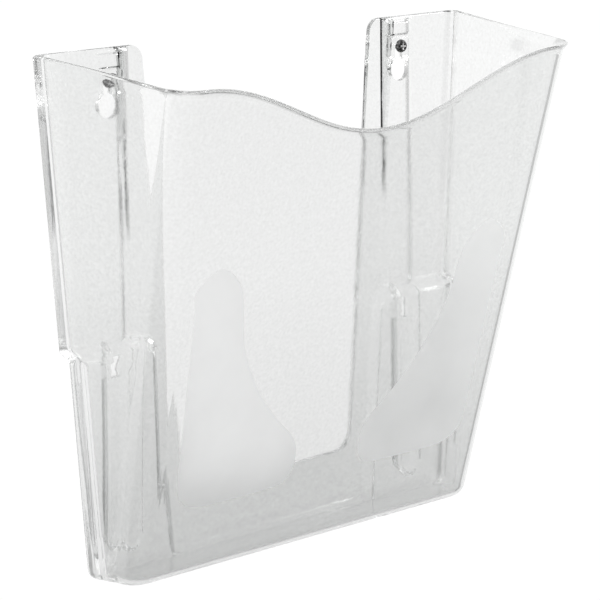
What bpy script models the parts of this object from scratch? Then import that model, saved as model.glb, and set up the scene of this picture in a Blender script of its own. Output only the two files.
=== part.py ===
"""Clear plastic wall pocket for magazines, hung on two screws.

The pocket is one thin-walled moulding: a back wall with a U-shaped opening, two side walls,
a leaning front wall with a wavy top edge, and a floor. Each side of the back wall has a
raised channel with a keyhole, and below it a recess with a hollow rib in the middle. The
pocket hangs by its keyholes on two cross-head screws, each in a plug in the wall.

Frame: metres, +Z up, +X to the right as seen from the front, +Y into the wall. The wall's
surface is the plane y = 0. The origin lies on it, halfway between the two screws' axes.
Heights named h are measured from the pocket's underside.
"""

import math

import bmesh
import bpy

# ---------------------------------------------------------------- driving dimensions, metres

BACK_HEIGHT = 0.225          # the pocket's underside to the top of its back wall
TOP_DROP = 0.0083            # how much lower the side walls' top edge is at the front
BACK_WIDTH_TOP = 0.240
BACK_WIDTH_BOTTOM = 0.2108
FRONT_WIDTH_TOP = 0.2236
FRONT_WIDTH_BOTTOM = 0.2034
DEPTH_TOP = 0.0875           # the wall to the front wall's outer face, at BACK_HEIGHT
DEPTH_BOTTOM = 0.0315
WALL = 0.0024                # the moulding's wall thickness
FRONT_CORNER = 0.012         # outer radius of the two upright front corners
BACK_CORNER = 0.0015
FLOOR_EDGE = 0.006           # outer radius of the edge round the floor

WAVE_LOW = 0.1906            # height of the front wall's top edge at its middle
WAVE_RISE = 0.0260
WAVE_HALF = 0.099            # from the middle to where the wave is level again
LIP_HEIGHT = 0.0046          # band under the wavy edge that flares out
LIP_FLARE = 0.0021
LIP_EDGE = 0.0012            # height of the lip's upright outer face

OPENING_WIDTH_TOP = 0.1310   # U-shaped opening of the back wall
OPENING_WIDTH_BOTTOM = 0.0960
OPENING_FLOOR = 0.0275
OPENING_CORNER = 0.010
FLANGE_CORNER = 0.0065       # round top corner of each flange beside the opening

RECESS_DEPTH = 0.0065        # lower half of the back wall, set forward of the wall
RECESS_TOP = 0.096           # height of the ledge's front edge
LEDGE_RISE = 0.005           # the ledge slopes up by this much towards the wall
RECESS_MARGIN = 0.0090       # strip left between the opening's edge and the recess
RECESS_CORNER = 0.010
RECESS_DRAFT = 0.0006

KEY_X = 0.0825               # distance of each keyhole from the middle
KEY_HOLE_HEIGHT = 0.201      # centre of the keyhole's round end
KEY_HOLE_RADIUS = 0.0055
SLOT_RADIUS = 0.0022         # half the width of the keyhole's slot
SCREW_HEIGHT = 0.2115        # screw axis above the pocket's underside when it hangs

CHANNEL_RAISE = 0.0016       # the channel's face stands this far in front of the flange
CHANNEL_BASE_HALF = 0.00865
CHANNEL_FACE_HALF = 0.00565
CHANNEL_TOP = 0.2242
CHANNEL_BOTTOM = 0.100
SEAT_TOP = 0.2163            # the channel is flat round the slot, from here down
SEAT_BOTTOM = 0.1985
SEAT_HALF = 0.0069

RIB_FACE_HALF = 0.00535      # hollow rib in the recess, reaching back to the wall
RIB_BASE_HALF = 0.0080
RIB_FACE_BOTTOM = 0.0105
RIB_BASE_BOTTOM = 0.0130
WINDOW_HALF = 0.0041         # window through the rib's face, just under the ledge
WINDOW_LOW = 0.0846
WINDOW_HIGH = 0.0940

SHANK_RADIUS = 0.0015
HEAD_RADIUS = 0.0030
HEAD_FRONT = -0.0060
HEAD_THICKNESS = 0.0022
SCREW_TIP = 0.0230
CROSS_WIDTH = 0.0008
CROSS_REACH = 0.0017
CROSS_DEPTH = 0.0011

PLUG_RADIUS = 0.0030
PLUG_COLLAR_RADIUS = 0.0037
PLUG_COLLAR = 0.0008
PLUG_BORE_RADIUS = 0.0018
PLUG_FRONT = 0.0003
PLUG_END = 0.0260
PLUG_BORE_END = 0.0245
PLUG_SLIT = 0.0007

GAP = 0.0003                 # clearance between pieces that touch
BEYOND = 0.010               # how far cutters run past what they cut
ROUND_STEPS = 5              # straight pieces in a rounded corner of a quarter turn
WAVE_STEPS = 24
TURN_STEPS = 24


# ---------------------------------------------------------------- helpers


def blend(start, end, share):
    """The value at a share of the way from start to end."""
    return start + (end - start) * share


def arc(centre, radius, start_deg, end_deg, steps):
    """Points of an arc in a plane, first and last included."""
    points = []
    for step in range(steps + 1):
        angle = math.radians(blend(start_deg, end_deg, step / steps))
        points.append((centre[0] + radius * math.cos(angle), centre[1] + radius * math.sin(angle)))
    return points


def make_object(name, bm):
    """Turn a bmesh into an object with outward faces."""
    bmesh.ops.recalc_face_normals(bm, faces=bm.faces)
    mesh = bpy.data.meshes.new(name)
    bm.to_mesh(mesh)
    bm.free()
    made = bpy.data.objects.new(name, mesh)
    bpy.context.scene.collection.objects.link(made)
    return made


def loft(name, rings):
    """A closed body through rings of the same number of points, capped at both ends."""
    bm = bmesh.new()
    rows = [[bm.verts.new(point) for point in ring] for ring in rings]
    count = len(rows[0])
    for lower, upper in zip(rows, rows[1:]):
        for i in range(count):
            j = (i + 1) % count
            bm.faces.new((lower[i], lower[j], upper[j], upper[i]))
    bm.faces.new(rows[0])
    bm.faces.new(rows[-1])
    return make_object(name, bm)


def across(name, outlines):
    """A closed body through outlines in x and h, each at its own y."""
    return loft(name, [[(x, y, h) for x, h in outline] for y, outline in outlines])


def boolean(body, tool, operation):
    """Apply a Boolean to body and remove the tool."""
    modifier = body.modifiers.new(operation.lower(), "BOOLEAN")
    modifier.operation = operation
    modifier.object = tool
    bpy.context.view_layer.update()
    graph = bpy.context.evaluated_depsgraph_get()
    result = bpy.data.meshes.new_from_object(body.evaluated_get(graph))
    body.modifiers.clear()
    body.data = result
    bpy.data.objects.remove(tool)
    return body


def cut(body, tool):
    return boolean(body, tool, "DIFFERENCE")


def turned(name, profile, centre):
    """A body of revolution about an axis along Y. The profile is (radius, y) from end to end."""
    rings = []
    for radius, y in profile:
        circle = arc((centre[0], centre[1]), radius, 0, 360, TURN_STEPS)[:-1]
        rings.append([(x, y, z) for x, z in circle])
    return loft(name, rings)


def give_material(thing, name, colour, roughness, metallic, transmission):
    """A Principled material for one piece."""
    material = bpy.data.materials.new(name)
    material.use_nodes = True
    shader = material.node_tree.nodes["Principled BSDF"]
    shader.inputs["Base Color"].default_value = (*colour, 1.0)
    shader.inputs["Roughness"].default_value = roughness
    shader.inputs["Metallic"].default_value = metallic
    shader.inputs["Transmission Weight"].default_value = transmission
    thing.data.materials.clear()
    thing.data.materials.append(material)


# ---------------------------------------------------------------- the pocket's outline


def half_back(h):
    return blend(BACK_WIDTH_BOTTOM, BACK_WIDTH_TOP, h / BACK_HEIGHT) / 2


def half_front(h):
    return blend(FRONT_WIDTH_BOTTOM, FRONT_WIDTH_TOP, h / BACK_HEIGHT) / 2


def depth(h):
    return blend(DEPTH_BOTTOM, DEPTH_TOP, h / BACK_HEIGHT)


def opening_half(h):
    return blend(OPENING_WIDTH_BOTTOM, OPENING_WIDTH_TOP, h / BACK_HEIGHT) / 2


def plan_ring(h, inset, front_radius, drop=0.0):
    """The pocket's plan at one height, set in all round. drop lowers the front of the ring."""
    reach = depth(h - drop)
    back = half_back(h) - inset
    front = half_front(h - drop) - inset
    y_back = -inset
    y_front = -reach + inset
    right = arc((back - BACK_CORNER, y_back - BACK_CORNER), BACK_CORNER, 90, 0, 2)
    right += arc((front - front_radius, y_front + front_radius), front_radius, 0, -90, ROUND_STEPS)
    left = [(-x, y) for x, y in reversed(right)]
    return [(x, y, h + drop * y / reach) for x, y in right + left]


def outer_body():
    """The outside of the pocket, filled."""
    rings = []
    for step in range(ROUND_STEPS + 1):
        angle = math.radians(90 * step / ROUND_STEPS)
        inset = FLOOR_EDGE * (1 - math.sin(angle))
        h = FLOOR_EDGE * (1 - math.cos(angle))
        rings.append(plan_ring(h, inset, FRONT_CORNER - inset))
    rings.append(plan_ring(BACK_HEIGHT, 0, FRONT_CORNER, TOP_DROP))
    return loft("pocket", rings)


def inner_body():
    """The space inside the pocket, running out past its open top."""
    rings = []
    edge = FLOOR_EDGE - WALL
    for step in range(ROUND_STEPS + 1):
        angle = math.radians(90 * step / ROUND_STEPS)
        inset = WALL + edge * (1 - math.sin(angle))
        h = WALL + edge * (1 - math.cos(angle))
        rings.append(plan_ring(h, inset, FRONT_CORNER - inset))
    rings.append(plan_ring(BACK_HEIGHT + BEYOND, WALL, FRONT_CORNER - WALL))
    return loft("inside", rings)


# ---------------------------------------------------------------- recess, ledge and rib


def recess_outline(side, y, grow):
    """The recess at a depth y, grown by the wall thickness for the inside of the pocket."""
    share = (y + RECESS_DEPTH) / RECESS_DEPTH
    top = RECESS_TOP + LEDGE_RISE * share + grow
    radius = RECESS_CORNER + grow

    def inner_edge(h):
        return opening_half(h) + RECESS_MARGIN + RECESS_DRAFT * (1 - share) - grow

    outer = BACK_WIDTH_TOP / 2 + BEYOND
    low = -BEYOND
    corner = inner_edge(top - radius) + radius
    outline = [(outer, low), (outer, top)]
    outline += arc((corner, top - radius), radius, 90, 180, ROUND_STEPS)
    outline.append((inner_edge(low), low))
    return [(side * x, h) for x, h in outline]


def rib_outline(side, half, bottom, top):
    """An upright strip with a round lower end, centred on the keyhole."""
    strip = [(KEY_X - half, top)]
    strip += arc((KEY_X, bottom + half), half, 180, 360, 2 * ROUND_STEPS)
    strip.append((KEY_X + half, top))
    return [(side * x, h) for x, h in strip]


def rib(side, thin):
    """The rib, from in front of the recess back past the wall. thin gives its hollow."""

    def outline(y):
        share = -y / RECESS_DEPTH
        half = blend(RIB_FACE_HALF, RIB_BASE_HALF, share) - thin
        bottom = blend(RIB_FACE_BOTTOM + RIB_FACE_HALF, RIB_BASE_BOTTOM + RIB_BASE_HALF, share) - half
        return rib_outline(side, half, bottom, RECESS_TOP + 2 * BEYOND)

    near = -RECESS_DEPTH - WALL - GAP
    return across("rib", [(near, outline(near)), (GAP, outline(GAP))])


def recess(side, grow):
    """The space behind the lower half of the back wall, without the rib."""
    near = -RECESS_DEPTH - grow
    outlines = [(y, recess_outline(side, y, grow)) for y in (near, GAP * 0.5)]
    # the rib's wall is thinner, measured across, than the back wall by its slope
    return cut(across("recess", outlines), rib(side, grow))


# ---------------------------------------------------------------- keyholes and channels


def channel_strip(side, name, levels, low, high):
    """A strip with sloping sides along the channel. levels are (y, half width, end set-in)."""
    outlines = []
    for y, half, end in levels:
        corners = ((KEY_X - half, low), (KEY_X + half, low), (KEY_X + half, high - end), (KEY_X - half, high - end))
        outlines.append((y, [(side * x, h) for x, h in corners]))
    return across(name, outlines)


def add_channel(body, side):
    """Raise the channel in front of the flange, and hollow it from behind."""
    slope = CHANNEL_BASE_HALF - CHANNEL_FACE_HALF
    face = -WALL - CHANNEL_RAISE
    inside_half = CHANNEL_BASE_HALF + slope * (WALL / 2) / CHANNEL_RAISE
    levels = ((-WALL / 2, inside_half, 0), (face, CHANNEL_FACE_HALF, CHANNEL_RAISE / 2))
    raised = channel_strip(side, "channel", levels, CHANNEL_BOTTOM, CHANNEL_TOP)
    boolean(body, raised, "UNION")
    seat = across("seat", [
        (y, [(side * (KEY_X + dx), h) for dx, h in (
            (-SEAT_HALF, SEAT_BOTTOM),
            (SEAT_HALF, SEAT_BOTTOM),
            (SEAT_HALF, SEAT_TOP),
            (-SEAT_HALF, SEAT_TOP),
        )])
        for y in (face - BEYOND, -WALL)
    ])
    cut(body, seat)
    mouth = CHANNEL_BASE_HALF - WALL / 2
    floor = CHANNEL_FACE_HALF - WALL / 2
    levels = ((GAP, mouth, 0), (-CHANNEL_RAISE, floor, CHANNEL_RAISE / 2))
    for low, high in ((RECESS_TOP + LEDGE_RISE + WALL, SEAT_BOTTOM - WALL), (SEAT_TOP + WALL, CHANNEL_TOP - WALL)):
        cut(body, channel_strip(side, "hollow", levels, low, high))


def cut_keyhole(body, side):
    """The keyhole: a round hole, with a slot that runs up from it to the screw."""
    slot_end = SCREW_HEIGHT + SHANK_RADIUS + GAP - SLOT_RADIUS
    meet = math.degrees(math.asin(SLOT_RADIUS / KEY_HOLE_RADIUS))
    outline = arc((KEY_X, KEY_HOLE_HEIGHT), KEY_HOLE_RADIUS, 90 + meet, 450 - meet, 4 * ROUND_STEPS)
    outline += arc((KEY_X, slot_end), SLOT_RADIUS, 0, 180, 2 * ROUND_STEPS)
    outline = [(side * x, h) for x, h in outline]
    cut(body, across("keyhole", [(-BEYOND, outline), (BEYOND, outline)]))


def cut_window(body, side):
    """The window through the rib's face, under the ledge."""
    outline = [(side * (KEY_X + dx), h) for dx, h in (
        (-WINDOW_HALF, WINDOW_LOW),
        (WINDOW_HALF, WINDOW_LOW),
        (WINDOW_HALF, WINDOW_HIGH),
        (-WINDOW_HALF, WINDOW_HIGH),
    )]
    cut(body, across("window", [(-RECESS_DEPTH, outline), (BEYOND, outline)]))


# ---------------------------------------------------------------- edges of the moulding


def cut_opening(body):
    """The U-shaped opening of the back wall, which rounds the flanges' top corners too."""
    foot = opening_half(OPENING_FLOOR)
    right = arc((foot - OPENING_CORNER, OPENING_FLOOR + OPENING_CORNER), OPENING_CORNER, -90, 0, ROUND_STEPS)
    start = BACK_HEIGHT - FLANGE_CORNER
    right += arc((opening_half(start) + FLANGE_CORNER, start), FLANGE_CORNER, 180, 90, ROUND_STEPS)
    right.append((opening_half(start) + FLANGE_CORNER, BACK_HEIGHT + BEYOND))
    outline = right + [(-x, h) for x, h in reversed(right)]
    cut(body, across("opening", [(-2 * WALL - GAP, outline), (BEYOND, outline)]))


def wave_height(x):
    """Height of the front wall's top edge."""
    share = min(abs(x) / WAVE_HALF, 1.0)
    return WAVE_LOW + WAVE_RISE * (1 - math.cos(math.pi * share)) / 2


def add_lip(body):
    """The lip that flares out along the front wall's top edge, a little too tall at first."""
    half = half_front(WAVE_LOW) - FRONT_CORNER
    rings = []
    for step in range(WAVE_STEPS + 1):
        x = blend(-half, half, step / WAVE_STEPS)
        top = wave_height(x)
        face = -depth(top) - LIP_FLARE
        section = [(-depth(top - LIP_HEIGHT) + WALL / 2, top - LIP_HEIGHT), (face, top - LIP_EDGE)]
        section += [(face, top + LIP_EDGE), (-depth(top) + WALL / 2, top + LIP_EDGE)]
        rings.append([(x, y, h) for y, h in section])
    boolean(body, loft("lip", rings), "UNION")


def cut_wave(body):
    """The wavy top edge of the front wall."""
    edge = []
    for step in range(WAVE_STEPS + 1):
        x = blend(-WAVE_HALF, WAVE_HALF, step / WAVE_STEPS)
        edge.append((x, wave_height(x)))
    high = BACK_HEIGHT + BEYOND
    outline = edge + [(WAVE_HALF, high), (-WAVE_HALF, high)]
    near = -DEPTH_TOP - BEYOND
    far = -depth(WAVE_LOW) + FRONT_CORNER
    cut(body, across("wave", [(near, outline), (far, outline)]))


def make_pocket():
    body = outer_body()
    inside = inner_body()
    for side in (-1, 1):
        cut(body, recess(side, 0))
        cut(inside, recess(side, WALL))
    cut(body, inside)
    for side in (-1, 1):
        add_channel(body, side)
        cut_keyhole(body, side)
        cut_window(body, side)
    cut_opening(body)
    add_lip(body)
    cut_wave(body)
    body.location.z = -SCREW_HEIGHT
    body.data.shade_smooth()
    body.data.set_sharp_from_angle(angle=math.radians(32))
    give_material(body, "clear_plastic", (0.93, 0.95, 0.95), 0.08, 0.0, 0.9)
    return body


# ---------------------------------------------------------------- screws and plugs


def make_screw(name, x):
    """A pan-head screw with a cross recess, its axis along Y and its tip in the wall."""
    under = HEAD_FRONT + HEAD_THICKNESS
    dome = HEAD_THICKNESS / 2
    profile = [(HEAD_RADIUS * 0.55, HEAD_FRONT), (HEAD_RADIUS * 0.85, HEAD_FRONT + dome * 0.3)]
    profile += [(HEAD_RADIUS, HEAD_FRONT + dome), (HEAD_RADIUS, under), (SHANK_RADIUS, under)]
    profile += [(SHANK_RADIUS, SCREW_TIP - 3 * SHANK_RADIUS), (SHANK_RADIUS * 0.15, SCREW_TIP)]
    screw = turned(name, profile, (x, 0))
    for reach_x, reach_z in ((CROSS_REACH, CROSS_WIDTH / 2), (CROSS_WIDTH / 2, CROSS_REACH)):
        corners = ((-1, -1), (1, -1), (1, 1), (-1, 1))
        outline = [(x + sx * reach_x, sz * reach_z) for sx, sz in corners]
        cut(screw, across("cross", [(HEAD_FRONT - BEYOND, outline), (HEAD_FRONT + CROSS_DEPTH, outline)]))
    screw.data.shade_smooth()
    screw.data.set_sharp_from_angle(angle=math.radians(35))
    give_material(screw, name + "_steel", (0.10, 0.10, 0.11), 0.3, 1.0, 0.0)
    return screw


def make_plug(name, x):
    """A slit wall plug round the screw's shank, with its collar just behind the wall's face."""
    profile = [(PLUG_COLLAR_RADIUS, PLUG_FRONT), (PLUG_COLLAR_RADIUS, PLUG_FRONT + PLUG_COLLAR)]
    profile += [(PLUG_RADIUS, PLUG_FRONT + PLUG_COLLAR), (PLUG_RADIUS, PLUG_END - PLUG_RADIUS)]
    profile += [(PLUG_RADIUS * 0.7, PLUG_END)]
    plug = turned(name, profile, (x, 0))
    bore = [(PLUG_BORE_RADIUS, PLUG_FRONT - BEYOND), (PLUG_BORE_RADIUS, PLUG_BORE_END)]
    cut(plug, turned("bore", bore, (x, 0)))
    reach = PLUG_COLLAR_RADIUS + BEYOND
    outline = [(x - PLUG_SLIT / 2, -reach), (x + PLUG_SLIT / 2, -reach)]
    outline += [(x + PLUG_SLIT / 2, reach), (x - PLUG_SLIT / 2, reach)]
    slit_start = blend(PLUG_FRONT, PLUG_END, 0.3)
    slit_end = blend(PLUG_FRONT, PLUG_END, 0.85)
    cut(plug, across("slit", [(slit_start, outline), (slit_end, outline)]))
    plug.data.shade_smooth()
    plug.data.set_sharp_from_angle(angle=math.radians(35))
    give_material(plug, name + "_nylon", (0.55, 0.56, 0.57), 0.5, 0.0, 0.0)
    return plug


def main():
    for old in list(bpy.data.objects):
        bpy.data.objects.remove(old)
    make_pocket()
    for side_name, side in (("left", -1), ("right", 1)):
        make_screw("screw_" + side_name, side * KEY_X)
        make_plug("wall_plug_" + side_name, side * KEY_X)


main()
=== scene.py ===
"""Looks of the clear plastic wall pocket: the moulding, its frosted patches, screws and plugs.

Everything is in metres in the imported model's frame: +Z up, +Y into the wall, and the origin on
the wall's surface, halfway between the two screws. Heights named h are measured from the
pocket's underside, and lengths named in millimetres carry MM.
"""

import math

import bmesh
import bpy
from mathutils import Matrix, Vector


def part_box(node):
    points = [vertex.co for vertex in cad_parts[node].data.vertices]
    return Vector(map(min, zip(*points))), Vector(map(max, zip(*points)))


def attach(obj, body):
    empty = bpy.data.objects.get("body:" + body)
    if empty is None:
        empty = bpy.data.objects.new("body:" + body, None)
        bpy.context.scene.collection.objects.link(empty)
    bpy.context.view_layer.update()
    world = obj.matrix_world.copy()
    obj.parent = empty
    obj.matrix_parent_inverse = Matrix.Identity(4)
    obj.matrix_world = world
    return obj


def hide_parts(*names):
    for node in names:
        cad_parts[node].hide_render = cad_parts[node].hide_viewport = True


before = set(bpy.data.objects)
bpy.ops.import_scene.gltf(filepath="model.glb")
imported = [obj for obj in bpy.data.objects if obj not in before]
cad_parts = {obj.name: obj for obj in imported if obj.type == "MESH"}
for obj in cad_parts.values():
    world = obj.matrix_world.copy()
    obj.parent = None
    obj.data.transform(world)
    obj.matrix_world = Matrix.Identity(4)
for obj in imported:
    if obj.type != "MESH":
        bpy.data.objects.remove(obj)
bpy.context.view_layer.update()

MM = 0.001
pocket_low, pocket_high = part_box("pocket")
screw_low, screw_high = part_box("screw_right")
plug_low, plug_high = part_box("wall_plug_right")

# ---------------------------------------------------------------- sizes of the moulding

BACK_HEIGHT = pocket_high.z - pocket_low.z
BACK_WIDTH_TOP = pocket_high.x - pocket_low.x
BACK_WIDTH_BOTTOM = 210.8 * MM
FRONT_WIDTH_TOP = 223.6 * MM
FRONT_WIDTH_BOTTOM = 203.4 * MM
DEPTH_TOP = 87.5 * MM
DEPTH_BOTTOM = 31.5 * MM
WALL = 2.4 * MM
FRONT_CORNER = 12 * MM
BACK_CORNER = 1.5 * MM
INNER_CORNER_EXTRA = 3.5 * MM
INNER_CORNER_EXTRA_LOW = 7 * MM
FLOOR_EDGE = 6 * MM
RIM_EDGE = 1.1 * MM          # rounding of the rim's two edges

WAVE_LOW = 190.6 * MM
WAVE_RISE = 26 * MM
WAVE_HALF = 99 * MM
LIP_HEIGHT = 4.6 * MM        # band under the front wall's edge that flares out
LIP_FLARE = 2.1 * MM
FLARE_START = 0.4            # share of the side's length, from the back, where the flare begins
LIP_SHADE_BAND = 1.3 * MM          # height of the front edge's band with painted shade, a deeper tint

OPENING_WIDTH_TOP = 131 * MM
OPENING_WIDTH_BOTTOM = 96 * MM
OPENING_FLOOR = 27.5 * MM
OPENING_CORNER = 10 * MM
FLANGE_CORNER = 6.5 * MM

RECESS_DEPTH = 6.5 * MM
RECESS_TOP = 96 * MM
LEDGE_RISE = 5 * MM
RECESS_MARGIN = 9 * MM
RECESS_CORNER = 10 * MM
RECESS_STEP = 2.6 * MM       # width of the recess's upright step
INNER_GROW = 1.9 * MM        # how far a step on the inside lies outside the one behind it

KEY_X = (screw_low.x + screw_high.x) / 2
KEY_HOLE_HEIGHT = 201 * MM
KEY_HOLE_RADIUS = 5.5 * MM
SLOT_RADIUS = 2.2 * MM
SLOT_END = 211.1 * MM        # centre of the slot's round upper end
SCREW_HEIGHT = -pocket_low.z

CHANNEL_RAISE = 1.2 * MM
CHANNEL_BASE_HALF = 8.65 * MM
CHANNEL_FACE_HALF = 5.65 * MM
CHANNEL_SHRINK = 1.1 * MM    # the hollow behind is narrower, so that the wall keeps its thickness
CHANNEL_TOP = 224.2 * MM
CHANNEL_BOTTOM = 99 * MM
CHANNEL_FOOT = 3 * MM        # height of the slope at the channel's lower end
SEAT_TOP = 216.3 * MM
SEAT_BOTTOM = 205.5 * MM
SEAT_HALF = 6.9 * MM
SEAT_EDGE = 1.4 * MM         # width of the slope round the screw's seat
SEAT_SINK = 0.6              # share of the channel's height that the screw's seat is sunk by
SLOPE_BEND = 0.32            # share of a channel's slope that is bent at its foot and its top

RIB_FACE_HALF = 5.35 * MM
RIB_BASE_HALF = 8 * MM
RIB_END = 17 * MM            # centre of the rib's round lower end
RIB_ROOM = 11 * MM           # half width kept clear of the rounding inside the back corners
WINDOW_HALF = 4.1 * MM
WINDOW_LOW = 84.6 * MM
WINDOW_HIGH = 94 * MM

FROST_DEPTH = 0.08 * MM
BEYOND = 10 * MM             # how far a cutting body reaches past the moulding
SMALL = 0.3 * MM             # a small rounding or clearance

# Numbers of steps round a front corner, along the front wall, along a side wall, round a
# back corner and in the flared lip, and the angle between two rows on the rim's rounding.
CORNER_STEPS = 12
WAVE_STEPS = 72
SIDE_STEPS = 8
BACK_CORNER_STEPS = 4
LIP_STEPS = 10
RIM_TURN_DEG = 15

# Half widths of the bands on the back wall where stations stand close together.
STEP_BAND_IN = 4 * MM
STEP_BAND_OUT = 4.5 * MM
RIB_BAND = 10 * MM

PLASTIC_IOR = 1.58
WHITE = (1, 1, 1, 1)


# ---------------------------------------------------------------- mesh helpers


def blend(start, end, share):
    """The value a share of the way from start to end."""
    return start + (end - start) * share


def arc(centre, radius, start_deg, end_deg, steps):
    """Points of an arc in a plane, first and last included."""
    points = []
    for step in range(steps + 1):
        angle = math.radians(blend(start_deg, end_deg, step / steps))
        points.append((centre[0] + radius * math.cos(angle), centre[1] + radius * math.sin(angle)))
    return points


def make_object(name, bm):
    """Turn a bmesh into an object of the scene."""
    mesh = bpy.data.meshes.new(name)
    bm.to_mesh(mesh)
    bm.free()
    made = bpy.data.objects.new(name, mesh)
    bpy.context.scene.collection.objects.link(made)
    return made


def loft(name, rings):
    """A closed body through rings of the same number of points, capped at both ends."""
    bm = bmesh.new()
    rows = [[bm.verts.new(point) for point in ring] for ring in rings]
    count = len(rows[0])
    for lower, upper in zip(rows, rows[1:]):
        for i in range(count):
            j = (i + 1) % count
            bm.faces.new((lower[i], lower[j], upper[j], upper[i]))
    bm.faces.new(rows[0])
    bm.faces.new(rows[-1])
    bmesh.ops.recalc_face_normals(bm, faces=bm.faces)
    return make_object(name, bm)


def across(name, outlines):
    """A closed body through outlines in x and h, each at its own y."""
    return loft(name, [[(x, y, h) for x, h in outline] for y, outline in outlines])


def applied(thing):
    """Replace a mesh by the result of its modifiers."""
    bpy.context.view_layer.update()
    graph = bpy.context.evaluated_depsgraph_get()
    result = bpy.data.meshes.new_from_object(thing.evaluated_get(graph))
    thing.modifiers.clear()
    thing.data = result
    return thing


def boolean(body, tool, operation):
    """Apply a Boolean to body and remove the tool. New faces keep the tool's material."""
    modifier = body.modifiers.new(operation.lower(), "BOOLEAN")
    modifier.operation = operation
    modifier.object = tool
    modifier.solver = "MANIFOLD"
    modifier.material_mode = "TRANSFER"
    applied(body)
    bpy.data.objects.remove(tool)
    return body


def cut(body, tool):
    return boolean(body, tool, "DIFFERENCE")


def turned(name, profile, centre, steps=48):
    """A body of revolution about an axis along Y. The profile is (radius, y) from end to end."""
    rings = []
    for radius, y in profile:
        circle = arc(centre, radius, 0, 360, steps)[:-1]
        rings.append([(x, y, z) for x, z in circle])
    return loft(name, rings)


def shade(thing, angle_deg):
    """Shade smooth, but keep the edges sharper than an angle."""
    thing.data.shade_smooth()
    thing.data.set_sharp_from_angle(angle=math.radians(angle_deg))


# ---------------------------------------------------------------- materials

# The painted shade on the plastic's tint fades between these two heights above the underside:
# darker below, lighter above.
SHADE_FADE_START = 15 * MM
SHADE_FADE_END = 135 * MM

# Factors on the tint: the first three paint light and shade, darker to the left and lighter to the
# right, lighter on the left side wall and darker at the foot; the last is a random speckle. The two
# factors, and for the first three where each of them is reached.
PAINTED_LIGHT_LEFT_TO_RIGHT = (0.96, 1.02, -20 * MM, 90 * MM)
PAINTED_LIGHT_LEFT_WALL = (1.06, 1, -114 * MM, -102 * MM)
PAINTED_SHADE_FOOT = (0.9, 1, 2 * MM, 8 * MM)
TONE_SPECKLE = (0.91, 1.0)

# Tints at the floor and further up: the plastic's own tint, made darker towards the floor as
# painted shade.
CLEAR_TINT_AND_SHADE = ((0.84, 0.845, 0.842), (0.953, 0.958, 0.955))
# The lip's tints, darker still: painted shade on the front edge.
LIP_SHADE_TINTS = ((0.62, 0.625, 0.622), (0.74, 0.745, 0.742))
FROST_TINT_AND_SHADE = ((0.905, 0.91, 0.907), (0.955, 0.96, 0.957))


def grey(level):
    return (level, level, level)


def new_material(name):
    material = bpy.data.materials.new(name)
    material.use_nodes = True
    return material, material.node_tree.nodes, material.node_tree.links


def add_noise(nodes, links, coords, scale, detail):
    noise = nodes.new("ShaderNodeTexNoise")
    noise.inputs["Scale"].default_value = scale
    noise.inputs["Detail"].default_value = detail
    links.new(coords.outputs["Object"], noise.inputs["Vector"])
    return noise


def remap(nodes, links, source, low, high, from_low=0.3, from_high=0.7):
    """Map a texture's output onto a narrow range of values."""
    made = nodes.new("ShaderNodeMapRange")
    made.inputs["From Min"].default_value = from_low
    made.inputs["From Max"].default_value = from_high
    made.inputs["To Min"].default_value = low
    made.inputs["To Max"].default_value = high
    links.new(source, made.inputs["Value"])
    return made


def tint(nodes, links, factor, first, second):
    mixed = nodes.new("ShaderNodeMix")
    mixed.data_type = "RGBA"
    mixed.inputs["A"].default_value = (*first, 1)
    mixed.inputs["B"].default_value = (*second, 1)
    links.new(factor, mixed.inputs["Factor"])
    return mixed


def add_bump(nodes, links, height, distance, strength, under=None):
    bump = nodes.new("ShaderNodeBump")
    bump.inputs["Distance"].default_value = distance
    bump.inputs["Strength"].default_value = strength
    links.new(height, bump.inputs["Height"])
    if under is not None:
        links.new(under.outputs["Normal"], bump.inputs["Normal"])
    return bump


def multiplied(nodes, links, colour, factor):
    """A colour times a number."""
    toned = nodes.new("ShaderNodeMix")
    toned.data_type = "RGBA"
    toned.blend_type = "MULTIPLY"
    toned.inputs["Factor"].default_value = 1.0
    links.new(colour.outputs["Result"], toned.inputs["A"])
    links.new(factor.outputs["Result"], toned.inputs["B"])
    return toned


def tint_speckle_and_painted_light(nodes, links, coords, low, high, grain):
    """A grey tint with painted shade, from low at the floor to high further up, with painted light
    and shade sideways, on the left wall and at the foot, and speckled.
    """
    parts = nodes.new("ShaderNodeSeparateXYZ")
    links.new(coords.outputs["Object"], parts.inputs["Vector"])
    x, z = parts.outputs["X"], parts.outputs["Z"]
    # Painted shade: the tint is darker towards the floor and lighter further up.
    up = remap(nodes, links, z, 0, 1, pocket_low.z + SHADE_FADE_START, pocket_low.z + SHADE_FADE_END)
    colour = tint(nodes, links, up.outputs["Result"], low, high)
    # Painted light and shade: darker to the left, lighter to the right, lighter on the left side
    # wall and darker at the foot.
    factors = [remap(nodes, links, x, *PAINTED_LIGHT_LEFT_TO_RIGHT)]
    factors.append(remap(nodes, links, x, *PAINTED_LIGHT_LEFT_WALL))
    share, whole, start, end = PAINTED_SHADE_FOOT
    factors.append(remap(nodes, links, z, share, whole, pocket_low.z + start, pocket_low.z + end))
    factors.append(remap(nodes, links, grain.outputs["Fac"], *TONE_SPECKLE))
    for factor in factors:
        colour = multiplied(nodes, links, colour, factor)
    return colour


def new_plastic(name):
    """A new transparent material, its nodes and links, and a source of coordinates."""
    material, nodes, links = new_material(name)
    shader = nodes["Principled BSDF"]
    shader.inputs["IOR"].default_value = PLASTIC_IOR
    shader.inputs["Transmission Weight"].default_value = 1.0
    return material, nodes, links, shader, nodes.new("ShaderNodeTexCoord")


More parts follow.
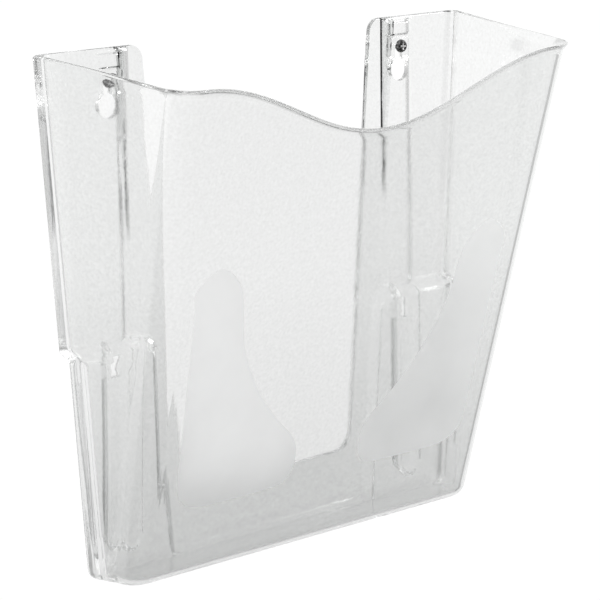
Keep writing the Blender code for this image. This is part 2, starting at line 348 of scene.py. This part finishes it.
def clear_plastic(name, low, high):
    """Clear moulded polystyrene: slow flow waves, a fine skin texture and faint haze."""
    material, nodes, links, shader, coords = new_plastic(name)
    flow = add_noise(nodes, links, coords, 22, 2)
    skin = add_noise(nodes, links, coords, 700, 2)
    haze = add_noise(nodes, links, coords, 60, 4)
    # The tint carries painted shade, darker towards the floor, and painted light and shade
    # sideways.
    colour = tint_speckle_and_painted_light(nodes, links, coords, low, high, skin)
    links.new(colour.outputs["Result"], shader.inputs["Base Color"])
    rough = remap(nodes, links, haze.outputs["Fac"], 0.03, 0.08)
    links.new(rough.outputs["Result"], shader.inputs["Roughness"])
    waves = add_bump(nodes, links, flow.outputs["Fac"], 0.6 * MM, 0.35)
    grain = add_bump(nodes, links, skin.outputs["Fac"], 0.02 * MM, 0.3, waves)
    links.new(grain.outputs["Normal"], shader.inputs["Normal"])
    return material


def frosted_plastic():
    """The same plastic with an etched surface."""
    material, nodes, links, shader, coords = new_plastic("frosted_plastic")
    etch = add_noise(nodes, links, coords, 2600, 3)
    cloud = add_noise(nodes, links, coords, 40, 3)
    # The tint carries painted shade, darker towards the floor, and painted light and shade
    # sideways.
    colour = tint_speckle_and_painted_light(nodes, links, coords, *FROST_TINT_AND_SHADE, cloud)
    links.new(colour.outputs["Result"], shader.inputs["Base Color"])
    rough = remap(nodes, links, cloud.outputs["Fac"], 0.42, 0.5)
    links.new(rough.outputs["Result"], shader.inputs["Roughness"])
    bump = add_bump(nodes, links, etch.outputs["Fac"], 0.05 * MM, 0.4)
    links.new(bump.outputs["Normal"], shader.inputs["Normal"])
    return material


def screw_steel(name, dark, light):
    """Plated steel with fine turning marks and brighter spots, which are painted glints."""
    material, nodes, links = new_material(name)
    shader = nodes["Principled BSDF"]
    shader.inputs["Metallic"].default_value = 1.0
    coords = nodes.new("ShaderNodeTexCoord")
    glint_spots = add_noise(nodes, links, coords, 900, 4)
    turning = add_noise(nodes, links, coords, 4000, 2)
    # Painted glints: brighter spots in the steel's colour.
    factor = remap(nodes, links, glint_spots.outputs["Fac"], 0, 1, 0.45, 0.75)
    colour = tint(nodes, links, factor.outputs["Result"], grey(dark), grey(light))
    links.new(colour.outputs["Result"], shader.inputs["Base Color"])
    rough = remap(nodes, links, glint_spots.outputs["Fac"], 0.18, 0.36)
    links.new(rough.outputs["Result"], shader.inputs["Roughness"])
    bump = add_bump(nodes, links, turning.outputs["Fac"], 0.02 * MM, 0.3)
    links.new(bump.outputs["Normal"], shader.inputs["Normal"])
    return material


def plug_nylon():
    """Grey moulded nylon with a matt, slightly mottled skin."""
    material, nodes, links = new_material("plug_nylon")
    shader = nodes["Principled BSDF"]
    coords = nodes.new("ShaderNodeTexCoord")
    mottle = add_noise(nodes, links, coords, 500, 4)
    colour = tint(nodes, links, mottle.outputs["Fac"], (0.50, 0.51, 0.52), (0.60, 0.61, 0.62))
    links.new(colour.outputs["Result"], shader.inputs["Base Color"])
    rough = remap(nodes, links, mottle.outputs["Fac"], 0.42, 0.58)
    links.new(rough.outputs["Result"], shader.inputs["Roughness"])
    bump = add_bump(nodes, links, mottle.outputs["Fac"], 0.05 * MM, 0.4)
    links.new(bump.outputs["Normal"], shader.inputs["Normal"])
    return material


# ---------------------------------------------------------------- the moulding's outline


def half_back(h):
    return blend(BACK_WIDTH_BOTTOM, BACK_WIDTH_TOP, h / BACK_HEIGHT) / 2


def half_front(h):
    return blend(FRONT_WIDTH_BOTTOM, FRONT_WIDTH_TOP, h / BACK_HEIGHT) / 2


def depth(h):
    return blend(DEPTH_BOTTOM, DEPTH_TOP, h / BACK_HEIGHT)


def opening_half(h):
    return blend(OPENING_WIDTH_BOTTOM, OPENING_WIDTH_TOP, h / BACK_HEIGHT) / 2


def wave_height(x):
    share = min(abs(x) / WAVE_HALF, 1.0)
    return WAVE_LOW + WAVE_RISE * (1 - math.cos(math.pi * share)) / 2


def smooth_step(share):
    """0 below 0 and 1 above 1, smooth between."""
    share = min(max(share, 0.0), 1.0)
    return share * share * (3 - 2 * share)


def falloff(distance, width):
    """0 up to distance 0 and 1 from distance width on, smooth between."""
    return smooth_step(distance / width)


def rounded_corner(distance, radius):
    """0 below -radius, distance itself above radius, and a round bend between."""
    if distance <= -radius:
        return 0.0
    if distance >= radius:
        return distance
    return (distance + radius) ** 2 / (4 * radius)


def flat_slope(distance, width):
    """Like falloff, but a flat slope with a small bend at its foot and its top."""
    share = distance / width
    return rounded_corner(share, SLOPE_BEND) - rounded_corner(share - 1, SLOPE_BEND)


# ---------------------------------------------------------------- the back wall's relief


def recess_share(ax, h, grow):
    """1 in the recess, 0 on the rest of the back wall, and between on the step and ledge."""
    across_step = ax - opening_half(h) - RECESS_MARGIN + grow
    under_ledge = RECESS_TOP + LEDGE_RISE + grow - h
    if across_step <= 0 or under_ledge <= 0:
        return 0.0
    if across_step < RECESS_CORNER and under_ledge < RECESS_CORNER:
        dx = RECESS_CORNER - across_step
        dh = RECESS_CORNER - under_ledge
        inside = RECESS_CORNER - math.hypot(dx, dh)
        towards_ledge = math.sin(math.atan2(dh, dx)) ** 2
    else:
        inside = min(across_step, under_ledge)
        towards_ledge = 1.0 if under_ledge < across_step else 0.0
    width = blend(RECESS_STEP, LEDGE_RISE + grow / 2, towards_ledge)
    return falloff(inside, width)


def rib_share(ax, h, grow):
    """1 on the face of the hollow rib that stands in the recess."""
    off_axis = math.hypot(ax - KEY_X, min(h - RIB_END, 0))
    return falloff(RIB_BASE_HALF - grow - off_axis, RIB_BASE_HALF - RIB_FACE_HALF)


def channel_share(ax, h, grow):
    """1 on the face of the channel above the ledge, and 0 round the keyhole's slot."""
    off_axis = abs(ax - KEY_X)
    share = flat_slope(CHANNEL_BASE_HALF - grow - off_axis, CHANNEL_BASE_HALF - CHANNEL_FACE_HALF)
    share *= falloff(h - CHANNEL_BOTTOM, CHANNEL_FOOT)
    share *= falloff(CHANNEL_TOP - grow - h, CHANNEL_RAISE)
    in_seat = min(h - SEAT_BOTTOM + grow, SEAT_TOP + grow - h)
    seat = falloff(SEAT_HALF + grow - off_axis, SEAT_EDGE) * falloff(in_seat, SEAT_EDGE)
    return share * (1 - SEAT_SINK * seat)


def relief(ax, h, inner):
    """How far the back wall's outer or inner face stands forward of the flange."""
    grow = INNER_GROW if inner else 0.0
    recess = recess_share(ax, h, grow) * (1 - rib_share(ax, h, grow))
    channel = channel_share(ax, h, 0.0 if inner else CHANNEL_SHRINK)
    return max(RECESS_DEPTH * recess, CHANNEL_RAISE * channel)


# The plan of the moulding is a closed loop of stations. Each is (side, region, value): forward
# along the right side wall, round its front corner, along the front wall, back along the left
# side wall, and along the back wall. On the back wall they follow the relief's edges.


def run(start, end, spacing):
    """Evenly spaced values from start up to, but not including, end."""
    count = max(1, round((end - start) / spacing))
    return [blend(start, end, step / count) for step in range(count)]


def back_stations():
    """Stations of half the back wall, from the middle out."""
    made = [("middle", share) for share in run(0, 1, 0.125)]
    made += [("step", offset) for offset in run(-STEP_BAND_IN, STEP_BAND_OUT, 0.4 * MM)]
    made += [("gap", share) for share in run(0, 1, 0.25)]
    made += [("rib", x) for x in run(KEY_X - RIB_BAND, KEY_X + RIB_BAND, 0.34 * MM)]
    made += [("outer", share) for share in run(0, 1, 0.16)]
    return made


def back_x(kind, value, h, end):
    """Distance of a back station from the middle, with the back wall's end at end."""
    step_line = opening_half(h) + RECESS_MARGIN
    if kind == "middle":
        return value * (step_line - STEP_BAND_IN)
    if kind == "step":
        return step_line + value
    if kind == "gap":
        return blend(step_line + STEP_BAND_OUT, KEY_X - RIB_BAND, value)
    if kind == "rib":
        return value
    return blend(KEY_X + RIB_BAND, end, value)


def stations():
    loop = [("back_corner", step / BACK_CORNER_STEPS) for step in range(BACK_CORNER_STEPS + 1)]
    loop += [("side", step / SIDE_STEPS) for step in range(1, SIDE_STEPS)]
    loop += [("corner", step / CORNER_STEPS) for step in range(CORNER_STEPS + 1)]
    right = [(1, region, value) for region, value in loop]
    front = [(1, "front", 1 - 2 * step / WAVE_STEPS) for step in range(1, WAVE_STEPS)]
    left = [(-1, region, value) for region, value in reversed(loop)]
    half = back_stations()
    back = [(-1, "back", station) for station in reversed(half)]
    back += [(1, "back", station) for station in half[1:]]
    return right + front + left + back


def inner_back_corner(h, back):
    """Radius inside the back corners: larger below the ledge, but clear of the rib."""
    below = falloff(RECESS_TOP + LEDGE_RISE - h, LEDGE_RISE)
    radius = BACK_CORNER + blend(INNER_CORNER_EXTRA, INNER_CORNER_EXTRA_LOW, below)
    return min(radius, back - KEY_X - RIB_ROOM)


def plan_point(station, h, inset, inner=False):
    """The place of a station on the plan at height h, set in from the outside."""
    side, region, value = station
    corner = max(FRONT_CORNER - inset, SMALL)
    front = half_front(h) - inset
    back = half_back(h) - inset
    back_corner = inner_back_corner(h, back) if inner else BACK_CORNER
    y_front = -depth(h) + inset
    if region == "front":
        return value * (front - corner), y_front
    if region == "corner":
        angle = math.radians(90 * value)
        x = front - corner + corner * math.cos(angle)
        return side * x, y_front + corner - corner * math.sin(angle)
    if region == "back":
        ax = back_x(*value, h, back - back_corner)
        return side * ax, -max(inset, relief(ax, h, inner) + (WALL if inner else 0))
    side_relief = relief(BACK_WIDTH_TOP, h, inner) + (WALL if inner else 0)
    y_back = -max(inset, side_relief) - back_corner
    if region == "back_corner":
        angle = math.radians(90 * (1 - value))
        x = back - back_corner + back_corner * math.cos(angle)
        return side * x, y_back + back_corner * math.sin(angle)
    end_y = y_front + corner
    return side * blend(back, front, value), blend(y_back, end_y, value)


def flare_way(station):
    """The way the lip flares: forward on the front wall, outward on the side, less to the back."""
    side, region, value = station
    if region == "front":
        return 0.0, -1.0
    if region == "corner":
        angle = math.radians(90 * value)
        return side * math.cos(angle), -math.sin(angle)
    if region == "side":
        return side * smooth_step((value - FLARE_START) / (1 - FLARE_START)), 0.0
    return 0.0, 0.0


def edge_height(station):
    """Height of the pocket's top edge at a station: it rises along the sides to the back."""
    region = station[1]
    if region == "back":
        return BACK_HEIGHT
    side_top = WAVE_LOW + WAVE_RISE
    h = side_top
    for _ in range(3):
        x, y = plan_point(station, h, 0)
        level = wave_height(x) if region in ("front", "corner") else side_top
        h = level + (BACK_HEIGHT - side_top) * max(1 + y / depth(h), 0)
    return h


def back_rows():
    """Heights of the rows of points on the back wall, close together where the relief is."""
    spans = ((6, 22, 0.8), (22, 82, 6), (82, 93, 0.9), (93, 106, 0.45), (106, 196, 9))
    spans += ((196, 203.3, 1.9), (203.3, 207.3, 0.37), (207.3, 214, 2.6), (214, 220.4, 0.4))
    rows = []
    for start, end, spacing in spans:
        rows += run(start * MM, end * MM, spacing * MM)
    return rows[1:] + [BACK_HEIGHT - LIP_HEIGHT]


def ring_at(loop, inset, below=None, h=None, share=None, inner=False, rim=False):
    """A ring of points at a height, a share of the way up, or a distance below the edge.

    It lies inset from the outer face's outline, or on the inner face's, or on the rim between.
    """
    points = []
    for station in loop:
        top = edge_height(station)
        if below is not None:
            level = top - below
        elif share is not None:
            level = blend(FLOOR_EDGE, top - LIP_HEIGHT, share)
        else:
            level = h
        if rim:
            outer_spot = plan_point(station, level, 0)
            inner_spot = plan_point(station, level, WALL, inner=True)
            x, y = (blend(a, b, inset / WALL) for a, b in zip(outer_spot, inner_spot))
        else:
            x, y = plan_point(station, level, inset, inner)
        flare = LIP_FLARE * max(1 - (top - level) / LIP_HEIGHT, 0) ** 2
        way_x, way_y = flare_way(station)
        points.append((x + way_x * flare, y + way_y * flare, level))
    return points


def shell():
    """The pocket's walls and floor as one skin: up the outside, over the rim and down inside."""
    loop = stations()
    shares = [(h - FLOOR_EDGE) / (BACK_HEIGHT - LIP_HEIGHT - FLOOR_EDGE) for h in back_rows()]
    lip = [blend(LIP_HEIGHT, RIM_EDGE, step / LIP_STEPS) for step in range(1, LIP_STEPS)]
    turns = [math.radians(angle) for angle in range(0, 91, RIM_TURN_DEG)]
    rings = []
    for step in range(CORNER_STEPS + 1):
        angle = math.radians(90 * step / CORNER_STEPS)
        inset = FLOOR_EDGE * (1 - math.sin(angle))
        rings.append(ring_at(loop, inset, h=FLOOR_EDGE * (1 - math.cos(angle))))
    rings += [ring_at(loop, 0, share=share) for share in shares]
    rings += [ring_at(loop, 0, below=below) for below in lip]
    for angle in turns:
        inset = RIM_EDGE * (1 - math.cos(angle))
        rings.append(ring_at(loop, inset, below=RIM_EDGE * (1 - math.sin(angle)), rim=True))
    for angle in reversed(turns):
        inset = WALL - RIM_EDGE * (1 - math.cos(angle))
        rings.append(ring_at(loop, inset, below=RIM_EDGE * (1 - math.sin(angle)), rim=True))
    rings += [ring_at(loop, WALL, below=below, inner=True) for below in reversed(lip)]
    rings += [ring_at(loop, WALL, share=share, inner=True) for share in reversed(shares)]
    edge = FLOOR_EDGE - WALL
    for step in range(CORNER_STEPS, -1, -1):
        angle = math.radians(90 * step / CORNER_STEPS)
        inset = WALL + edge * (1 - math.sin(angle))
        rings.append(ring_at(loop, inset, h=WALL + edge * (1 - math.cos(angle)), inner=True))
    return loft("pocket_moulding", rings)


# ---------------------------------------------------------------- openings of the back wall


def box_outline(side, half, low, high):
    corners = ((-half, low), (half, low), (half, high), (-half, high))
    return [(side * (KEY_X + dx), h) for dx, h in corners]


def keyhole_outline(side):
    meet = math.degrees(math.asin(SLOT_RADIUS / KEY_HOLE_RADIUS))
    outline = arc((KEY_X, KEY_HOLE_HEIGHT), KEY_HOLE_RADIUS, 90 + meet, 450 - meet, 36)
    outline += arc((KEY_X, SLOT_END), SLOT_RADIUS, 0, 180, 16)
    return [(side * x, h) for x, h in outline]


def opening_outline():
    """The U-shaped opening, which rounds the flanges' top corners too."""
    foot = opening_half(OPENING_FLOOR)
    right = arc((foot - OPENING_CORNER, OPENING_FLOOR + OPENING_CORNER), OPENING_CORNER, -90, 0, 16)
    start = BACK_HEIGHT - FLANGE_CORNER
    right += arc((opening_half(start) + FLANGE_CORNER, start), FLANGE_CORNER, 180, 90, 12)
    right.append((opening_half(start) + FLANGE_CORNER, BACK_HEIGHT + BEYOND))
    return right + [(-x, h) for x, h in reversed(right)]


def cut_back_openings(body):
    """Cut the U-shaped opening, and on each side the keyhole and the window."""
    opening = opening_outline()
    cut(body, across("opening", [(-2 * WALL - SMALL, opening), (BEYOND, opening)]))
    for side in (-1, 1):
        keyhole = keyhole_outline(side)
        cut(body, across("keyhole", [(-BEYOND, keyhole), (BEYOND, keyhole)]))
        window = box_outline(side, WINDOW_HALF, WINDOW_LOW, WINDOW_HIGH)
        cut(body, across("window", [(-RECESS_DEPTH, window), (BEYOND, window)]))


# ---------------------------------------------------------------- frosted patches

# The right patch's outline in millimetres, as x and h on the front wall, anticlockwise.
FROST_POINTS = (
    (29, 33), (60, 32.5), (74, 33.5), (81.5, 38), (84.4, 47), (85.4, 70), (88, 120),
    (88.5, 132), (77, 140), (64.5, 130), (60, 110), (56, 98), (45.5, 80),
    (32.5, 65), (22, 55), (18.6, 46.5), (21, 36.5),
)


def smooth_loop(points, steps):
    """A closed curve through the points, by Catmull and Rom's formula."""
    made = []
    count = len(points)
    for i in range(count):
        a, b, c, d = (Vector(points[(i + k) % count]) for k in (-1, 0, 1, 2))
        for step in range(steps):
            t = step / steps
            spot = 2 * b + (c - a) * t + (2 * a - 5 * b + 4 * c - d) * t ** 2
            spot += (3 * b - a - 3 * c + d) * t ** 3
            made.append(spot / 2)
    return made


def cut_frost(body, side, material):
    """Etch a shallow patch into the front wall's outer face."""
    outline = [(side * x * MM, h * MM) for x, h in smooth_loop(FROST_POINTS, 6)]
    rings = []
    for offset in (FROST_DEPTH, -BEYOND):
        rings.append([(x, -depth(h) + offset, h) for x, h in outline])
    tool = loft("frost", rings)
    tool.data.materials.append(material)
    cut(body, tool)


def paint_lip_shade(body):
    """Give the front edge painted shade, a deeper tint for the dark line seen where light runs
    along inside its thick bead.
    """
    for face in body.data.polygons:
        x, y, h = face.center
        on_front = y < -depth(h) + FRONT_CORNER
        if on_front and h > wave_height(x) - LIP_SHADE_BAND:
            face.material_index = 1


def make_pocket():
    """The whole moulding: shell, openings and patches, moved to the frame's origin."""
    body = shell()
    body.data.materials.append(clear_plastic("clear_plastic", *CLEAR_TINT_AND_SHADE))
    # The second material paints shade on the front edge.
    body.data.materials.append(clear_plastic("lip_painted_shade", *LIP_SHADE_TINTS))
    paint_lip_shade(body)
    cut_back_openings(body)
    frost = frosted_plastic()
    for side in (-1, 1):
        cut_frost(body, side, frost)
    body.data.transform(Matrix.Translation((0, 0, -SCREW_HEIGHT)))
    shade(body, 40)
    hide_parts("pocket")
    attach(body, "pocket_body")
    return body


# ---------------------------------------------------------------- screws and plugs

HEAD_RADIUS = (screw_high.x - screw_low.x) / 2
HEAD_THICKNESS = 2.2 * MM
THREAD_CORE = 1.15 * MM
THREAD_CREST = 1.5 * MM
THREAD_PITCH = 1.25 * MM
TIP_LENGTH = 4.5 * MM
RECESS_REACH = 1.7 * MM
RECESS_WIDTH = 0.85 * MM
RECESS_SINK = 1.4 * MM
RECESS_TAPER = 0.45          # size of the cross recess at its bottom, as a share
HEAD_TOP = 0.3               # radius of the head's flat top, as a share of the head's
HEAD_CROWN = 0.62            # radius where the head's rounding starts, as the same share
THREAD_FLANK = 0.28          # half width of a thread's ridge, as a share of the pitch
TIP_END = 0.08               # smallest share of the tip's length that is counted in its taper
TIP_CURVE = 0.7              # exponent of the tip's taper
SHANK_STEPS = 24


def thread_radius(turn, y, tip):
    """Radius of the threaded shank at a share of a turn and a distance into the wall."""
    phase = (y / THREAD_PITCH - turn) % 1.0
    crest = max(0.0, 1 - abs(phase - 0.5) / THREAD_FLANK)
    taper = min(1.0, max(TIP_END, (tip - y) / TIP_LENGTH) ** TIP_CURVE)
    return (THREAD_CORE + (THREAD_CREST - THREAD_CORE) * crest) * taper


def make_shank(name, x, start, tip):
    """The screw's shank with its helical thread and pointed tip."""
    rings = []
    rows = int((tip - start) / (THREAD_PITCH / 10))
    for row in range(rows + 1):
        y = blend(start, tip, row / rows)
        ring = []
        for step in range(SHANK_STEPS):
            angle = math.tau * step / SHANK_STEPS
            radius = thread_radius(step / SHANK_STEPS, y, tip)
            ring.append((x + radius * math.cos(angle), y, radius * math.sin(angle)))
        rings.append(ring)
    return loft(name, rings)


def make_screw(name, x, material, bright):
    """A pan-head screw with a cross recess and a helical thread."""
    front = screw_low.y
    under = front + HEAD_THICKNESS
    profile = [(HEAD_RADIUS * HEAD_TOP, front)]
    for step in range(9):
        angle = math.radians(10 * step)
        radius = HEAD_RADIUS * blend(HEAD_CROWN, 1, math.sin(angle))
        profile.append((radius, under - SMALL - (HEAD_THICKNESS - SMALL) * math.cos(angle)))
    profile += [(HEAD_RADIUS, under - SMALL), (HEAD_RADIUS * 0.95, under)]
    profile += [(THREAD_CREST * 1.05, under), (THREAD_CREST, under + SMALL)]
    profile += [(THREAD_CORE * 0.8, under + 2 * SMALL)]
    screw = turned(name, profile, (x, 0))
    screw.data.materials.append(material)
    corners = ((-1, -1), (1, -1), (1, 1), (-1, 1))
    sections = ((front - BEYOND, 1.0), (front, 1.0), (front + RECESS_SINK, RECESS_TAPER))
    for reach_x, reach_z in ((RECESS_REACH, RECESS_WIDTH / 2), (RECESS_WIDTH / 2, RECESS_REACH)):
        outlines = []
        for y, share in sections:
            outline = [(x + sx * reach_x * share, sz * reach_z * share) for sx, sz in corners]
            outlines.append((y, outline))
        cross = across("cross", outlines)
        # The recess's faces get the light steel: a painted glint.
        cross.data.materials.append(bright)
        cut(screw, cross)
    shank = make_shank("shank", x, under + SMALL, screw_high.y)
    shank.data.materials.append(material)
    boolean(screw, shank, "UNION")
    shade(screw, 32)
    return screw


PLUG_BORE_RADIUS = 1.8 * MM
PLUG_COLLAR = 0.8 * MM
PLUG_RADIUS = 3.0 * MM
PLUG_SLIT = 0.7 * MM
FIN_PITCH = 1.8 * MM
FIN_HEIGHT = 0.45 * MM
SLIT_FROM = 0.3              # the slit's two ends, as shares of the plug's length
SLIT_TO = 0.85


def make_plug(name, x, material):
    """A nylon plug with a collar, barbed fins and a slit that lets it spread."""
    start, end = plug_low.y, plug_high.y
    collar = (plug_high.x - plug_low.x) / 2
    profile = [(collar - SMALL / 2, start), (collar, start + SMALL / 2)]
    profile.append((collar, start + PLUG_COLLAR))
    y = start + PLUG_COLLAR + SMALL
    profile.append((PLUG_RADIUS - FIN_HEIGHT, y))
    while y < end - PLUG_RADIUS - FIN_PITCH:
        profile.append((PLUG_RADIUS - FIN_HEIGHT, y + SMALL))
        profile.append((PLUG_RADIUS, y + 2 * SMALL))
        y += FIN_PITCH
        profile.append((PLUG_RADIUS - FIN_HEIGHT, y))
    profile += [(PLUG_RADIUS * 0.8, end - PLUG_RADIUS / 2), (PLUG_RADIUS * 0.55, end)]
    plug = turned(name, profile, (x, 0))
    bore = [(PLUG_BORE_RADIUS + SMALL, start - SMALL), (PLUG_BORE_RADIUS, start + 2 * SMALL)]
    bore += [(PLUG_BORE_RADIUS, end - 5 * SMALL)]
    cut(plug, turned("bore", bore, (x, 0)))
    reach = collar + BEYOND
    half = PLUG_SLIT / 2
    outline = [(x - half, -reach), (x + half, -reach), (x + half, reach), (x - half, reach)]
    ends = (blend(start, end, SLIT_FROM), blend(start, end, SLIT_TO))
    cut(plug, across("slit", [(y, outline) for y in ends]))
    shade(plug, 35)
    plug.data.materials.clear()
    plug.data.materials.append(material)
    return plug


def make_fixings():
    """The two screws and the two plugs, all held by the wall."""
    steel = screw_steel("screw_steel", 0.04, 0.28)
    # Painted glint: very light steel for the cross recess's faces, in place of the glints of light
    # in it.
    bright = screw_steel("cross_glint_steel", 0.7, 0.95)
    nylon = plug_nylon()
    for side_name, side in (("left", -1), ("right", 1)):
        screw = make_screw("cross_head_screw_" + side_name, side * KEY_X, steel, bright)
        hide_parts("screw_" + side_name)
        plug = make_plug("finned_plug_" + side_name, side * KEY_X, nylon)
        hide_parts("wall_plug_" + side_name)
        for piece in (screw, plug):
            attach(piece, "wall_fixings")


# ---------------------------------------------------------------- floor, wall, light and camera

FLOOR_HALF = 1.4
FLOOR_LEVEL = -1.5
WALL_HALF = 0.55
WALL_GAP = 0.1 * MM          # between the pocket's back and the wall's surface
WALL_GLOW = 1.02
ROOM_DARK = 0.48             # strength of the room's light from below
ROOM_BRIGHT = 0.95           # and from above
ROOM_SLOPE = 0.5             # steepness of a direction, down or up, at which they are reached

# Each lamp: name, place, width and height in metres, and power in watts.
LAMPS = (
    ("key", (-1.1, -1.3, 1.4), (0.9, 0.9), 14),
    ("strip", (1.3, -0.9, 0.6), (0.3, 1.2), 6),
)
LAMP_TARGET = (0, 0, -0.1)

CAMERA_PLACE = (-0.69887, -0.82125, 0.13088)
CAMERA_TURN_DEG = -41.31
CAMERA_DOWN_DEG = 12.43
CAMERA_ROLL_DEG = -0.80
CAMERA_LENS = 148.72
CAMERA_SENSOR = 36

MOST_BOUNCES = 64
CLEAR_BOUNCES = 48           # light passes many faces of the thin clear walls


def make_floor():
    """A plain pale floor, well below the hanging pocket."""
    bm = bmesh.new()
    bmesh.ops.create_grid(bm, x_segments=2, y_segments=2, size=FLOOR_HALF)
    floor = make_object("floor", bm)
    floor.location.z = FLOOR_LEVEL
    material, nodes, _ = new_material("floor")
    nodes["Principled BSDF"].inputs["Base Color"].default_value = (*grey(0.6), 1)
    nodes["Principled BSDF"].inputs["Roughness"].default_value = 0.8
    floor.data.materials.append(material)


def make_world():
    """A pale grey room, lighter overhead and darker towards the floor."""
    world = bpy.data.worlds.new("surroundings")
    bpy.context.scene.world = world
    world.use_nodes = True
    nodes, links = world.node_tree.nodes, world.node_tree.links
    background = nodes["Background"]
    coords = nodes.new("ShaderNodeTexCoord")
    parts = nodes.new("ShaderNodeSeparateXYZ")
    links.new(coords.outputs["Generated"], parts.inputs["Vector"])
    z = parts.outputs["Z"]
    bright = remap(nodes, links, z, ROOM_DARK, ROOM_BRIGHT, -ROOM_SLOPE, ROOM_SLOPE)
    links.new(bright.outputs["Result"], background.inputs["Strength"])
    background.inputs["Color"].default_value = WHITE


def make_wall():
    """The white wall that the pocket hangs on. Its far side lets the view from behind through."""
    bm = bmesh.new()
    corners = ((-1, -1), (1, -1), (1, 1), (-1, 1))
    bm.faces.new([bm.verts.new((sx * WALL_HALF, 0, sz * WALL_HALF)) for sx, sz in corners])
    wall = make_object("wall", bm)
    wall.location.y = WALL_GAP
    material, nodes, links = new_material("wall")
    paint = nodes.new("ShaderNodeEmission")
    paint.inputs["Color"].default_value = WHITE
    paint.inputs["Strength"].default_value = WALL_GLOW
    clear = nodes.new("ShaderNodeBsdfTransparent")
    side = nodes.new("ShaderNodeNewGeometry")
    chosen = nodes.new("ShaderNodeMixShader")
    links.new(side.outputs["Backfacing"], chosen.inputs["Fac"])
    links.new(paint.outputs["Emission"], chosen.inputs[1])
    links.new(clear.outputs["BSDF"], chosen.inputs[2])
    links.new(chosen.outputs["Shader"], nodes["Material Output"].inputs["Surface"])
    wall.data.materials.append(material)


def add_light(name, place, size, watts):
    """A soft rectangular lamp that points at the pocket."""
    data = bpy.data.lights.new(name, "AREA")
    data.shape = "RECTANGLE"
    data.size, data.size_y = size
    data.energy = watts
    light = bpy.data.objects.new(name, data)
    bpy.context.scene.collection.objects.link(light)
    light.location = place
    aim = Vector(LAMP_TARGET) - Vector(place)
    light.rotation_euler = aim.to_track_quat("-Z", "Y").to_euler()


def make_camera():
    """A camera in front of the pocket, to its left and a little above it."""
    data = bpy.data.cameras.new("camera")
    data.sensor_width = CAMERA_SENSOR
    data.lens = CAMERA_LENS
    camera = bpy.data.objects.new("camera", data)
    bpy.context.scene.collection.objects.link(camera)
    turn = Matrix.Rotation(math.radians(CAMERA_TURN_DEG), 4, "Z")
    tilt = Matrix.Rotation(math.radians(90 - CAMERA_DOWN_DEG), 4, "X")
    roll = Matrix.Rotation(math.radians(CAMERA_ROLL_DEG), 4, "Z")
    camera.matrix_world = Matrix.Translation(CAMERA_PLACE) @ turn @ tilt @ roll
    bpy.context.scene.camera = camera


def set_rendering():
    """Let light through the many clear faces that lie behind each other."""
    scene = bpy.context.scene
    scene.view_settings.view_transform = "Standard"
    scene.cycles.max_bounces = MOST_BOUNCES
    scene.cycles.transmission_bounces = CLEAR_BOUNCES
    scene.cycles.glossy_bounces = CLEAR_BOUNCES
    scene.cycles.caustics_refractive = True
    scene.cycles.caustics_reflective = True
    scene.cycles.blur_glossy = 0.0


make_pocket()
make_fixings()
make_floor()
make_wall()
make_world()
for lamp in LAMPS:
    add_light(*lamp)
make_camera()
set_rendering()
